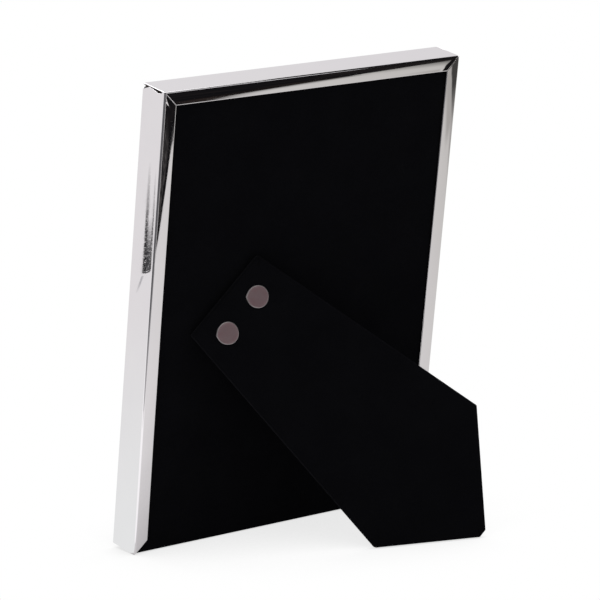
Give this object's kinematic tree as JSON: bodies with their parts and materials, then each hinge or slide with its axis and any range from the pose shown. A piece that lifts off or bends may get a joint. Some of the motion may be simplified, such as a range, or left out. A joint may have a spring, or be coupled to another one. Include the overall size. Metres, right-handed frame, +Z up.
{
  "type": "easel back photo frame",
  "caption": "Portrait photo frame of polished plated rails with a sliding velvet back and a hinged diagonal strut that props it up in portrait or landscape.",
  "frame": {"origin": "middle of the footprint, on the floor, of the frame as it stands on its strut", "axes": "+Z up, -Y the way the picture faces, +X to the right seen from the front"},
  "size_m": [0.153, 0.0844, 0.2031],
  "materials": {
    "plated_metal": "mirror polished plating",
    "core_wood": "dark dyed fibreboard",
    "clear_glass": "clear",
    "white_paper": "matt",
    "pad_card": "raw corrugated card",
    "hardboard": "pressed board",
    "black_velvet": "short pile",
    "black_paper": "matt",
    "hinge_steel": "zinc plated",
    "rivet_nickel": "dull nickel"
  },
  "bodies": {
    "frame": {"top_rail": "plated_metal", "bottom_rail": "plated_metal", "right_rail": "plated_metal", "left_rail": "plated_metal", "core_top": "core_wood", "core_bottom": "core_wood", "core_right": "core_wood", "core_left": "core_wood", "glass": "clear_glass", "insert_sheet": "white_paper", "backing_pad": "pad_card"},
    "back": {"back_board": "hardboard", "back_velvet": "black_velvet", "back_liner": "black_paper", "hinge_back_leaf": "hinge_steel", "hinge_pin": "hinge_steel", "hinge_back_rivets": "rivet_nickel"},
    "strut": {"strut_board": "hardboard", "strut_velvet": "black_velvet", "strut_lining": "black_paper", "hinge_strut_leaf": "hinge_steel", "strut_rivets": "rivet_nickel"}
  },
  "joints": [
    {"name": "back_slide", "type": "slide", "parent": "frame", "child": "back", "axis": [0, -0.1305, -0.9914], "range_m": [0, 0.205]},
    {"name": "strut_hinge", "type": "hinge", "parent": "back", "child": "strut", "pos_m": [0.0348, -0.01226, 0.10552], "axis": [-0.7071, 0.0923, 0.7011], "range_deg": [0, 25]}
  ]
}
